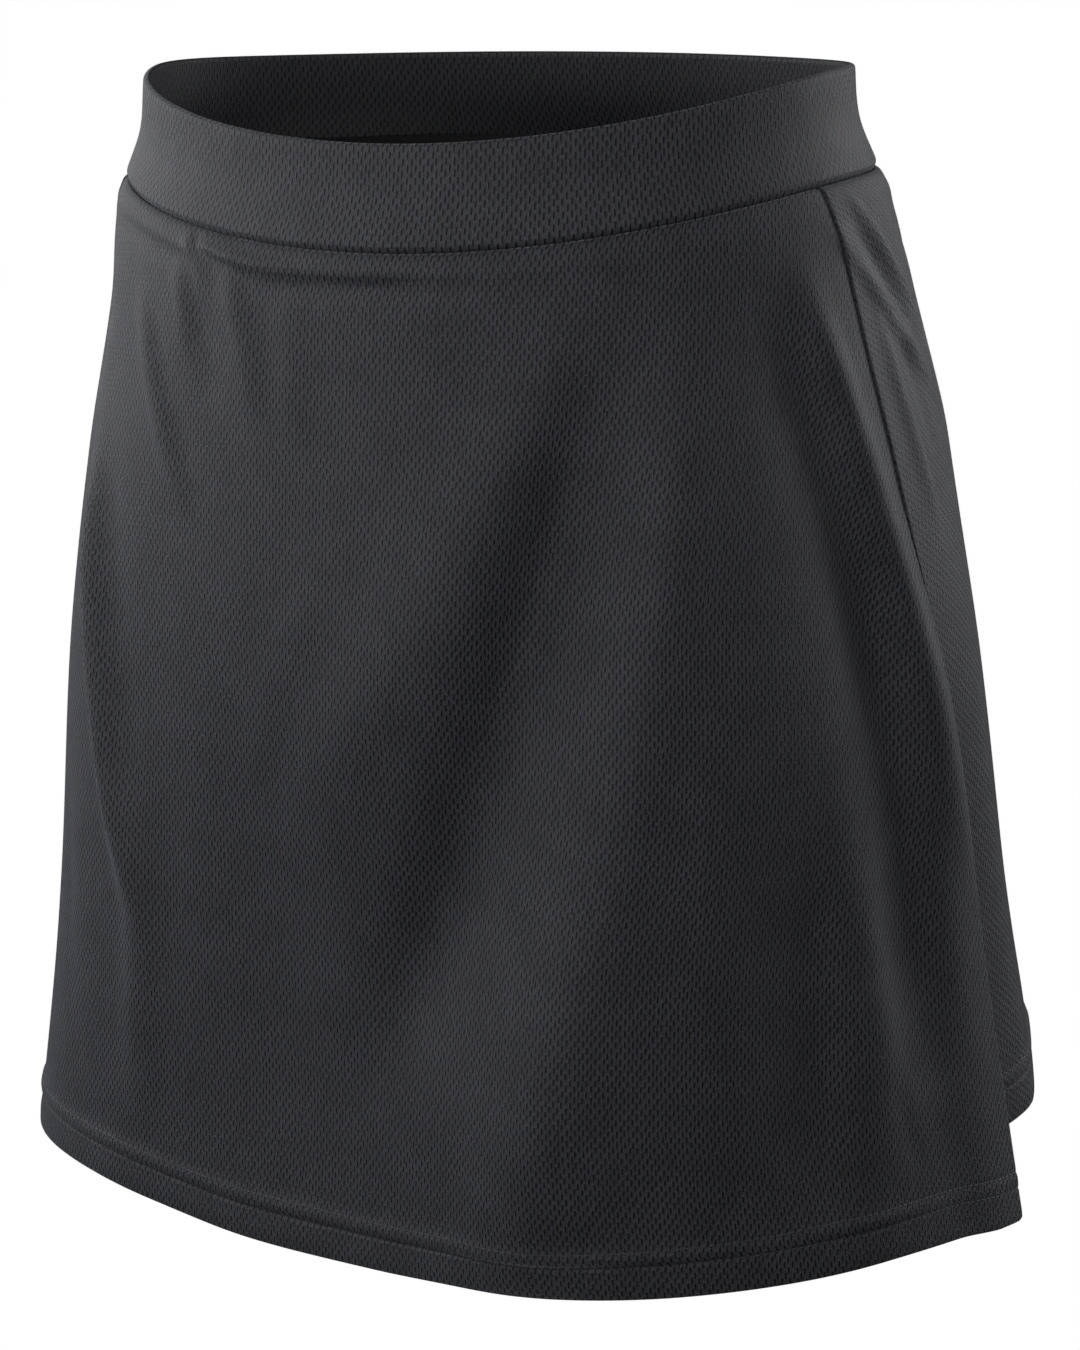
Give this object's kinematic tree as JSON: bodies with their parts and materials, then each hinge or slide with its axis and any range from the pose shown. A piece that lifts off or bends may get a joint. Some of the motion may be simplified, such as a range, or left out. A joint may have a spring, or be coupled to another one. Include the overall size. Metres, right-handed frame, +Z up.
{
  "type": "tennis skort",
  "caption": "Worn, hollow tennis skort: wide waistband, front and back skirt panels with side vents, plain inner shorts, turned-up hems.",
  "frame": {"origin": "middle of the waist opening at the height of the waistband's side edge, where the wearer's waist holds the garment", "axes": "+X the wearer's left, -Y the front, +Z up"},
  "size_m": [0.3991, 0.308, 0.4128],
  "materials": {
    "mesh_knit": "charcoal polyester bird-eye mesh knit, dull with a slight sheen",
    "shorts_jersey": "plain black stretch jersey"
  },
  "bodies": {
    "root": {"waistband": "mesh_knit", "front_panel": "mesh_knit", "back_panel": "mesh_knit", "shorts_left": "shorts_jersey", "shorts_right": "shorts_jersey"}
  },
  "joints": []
}
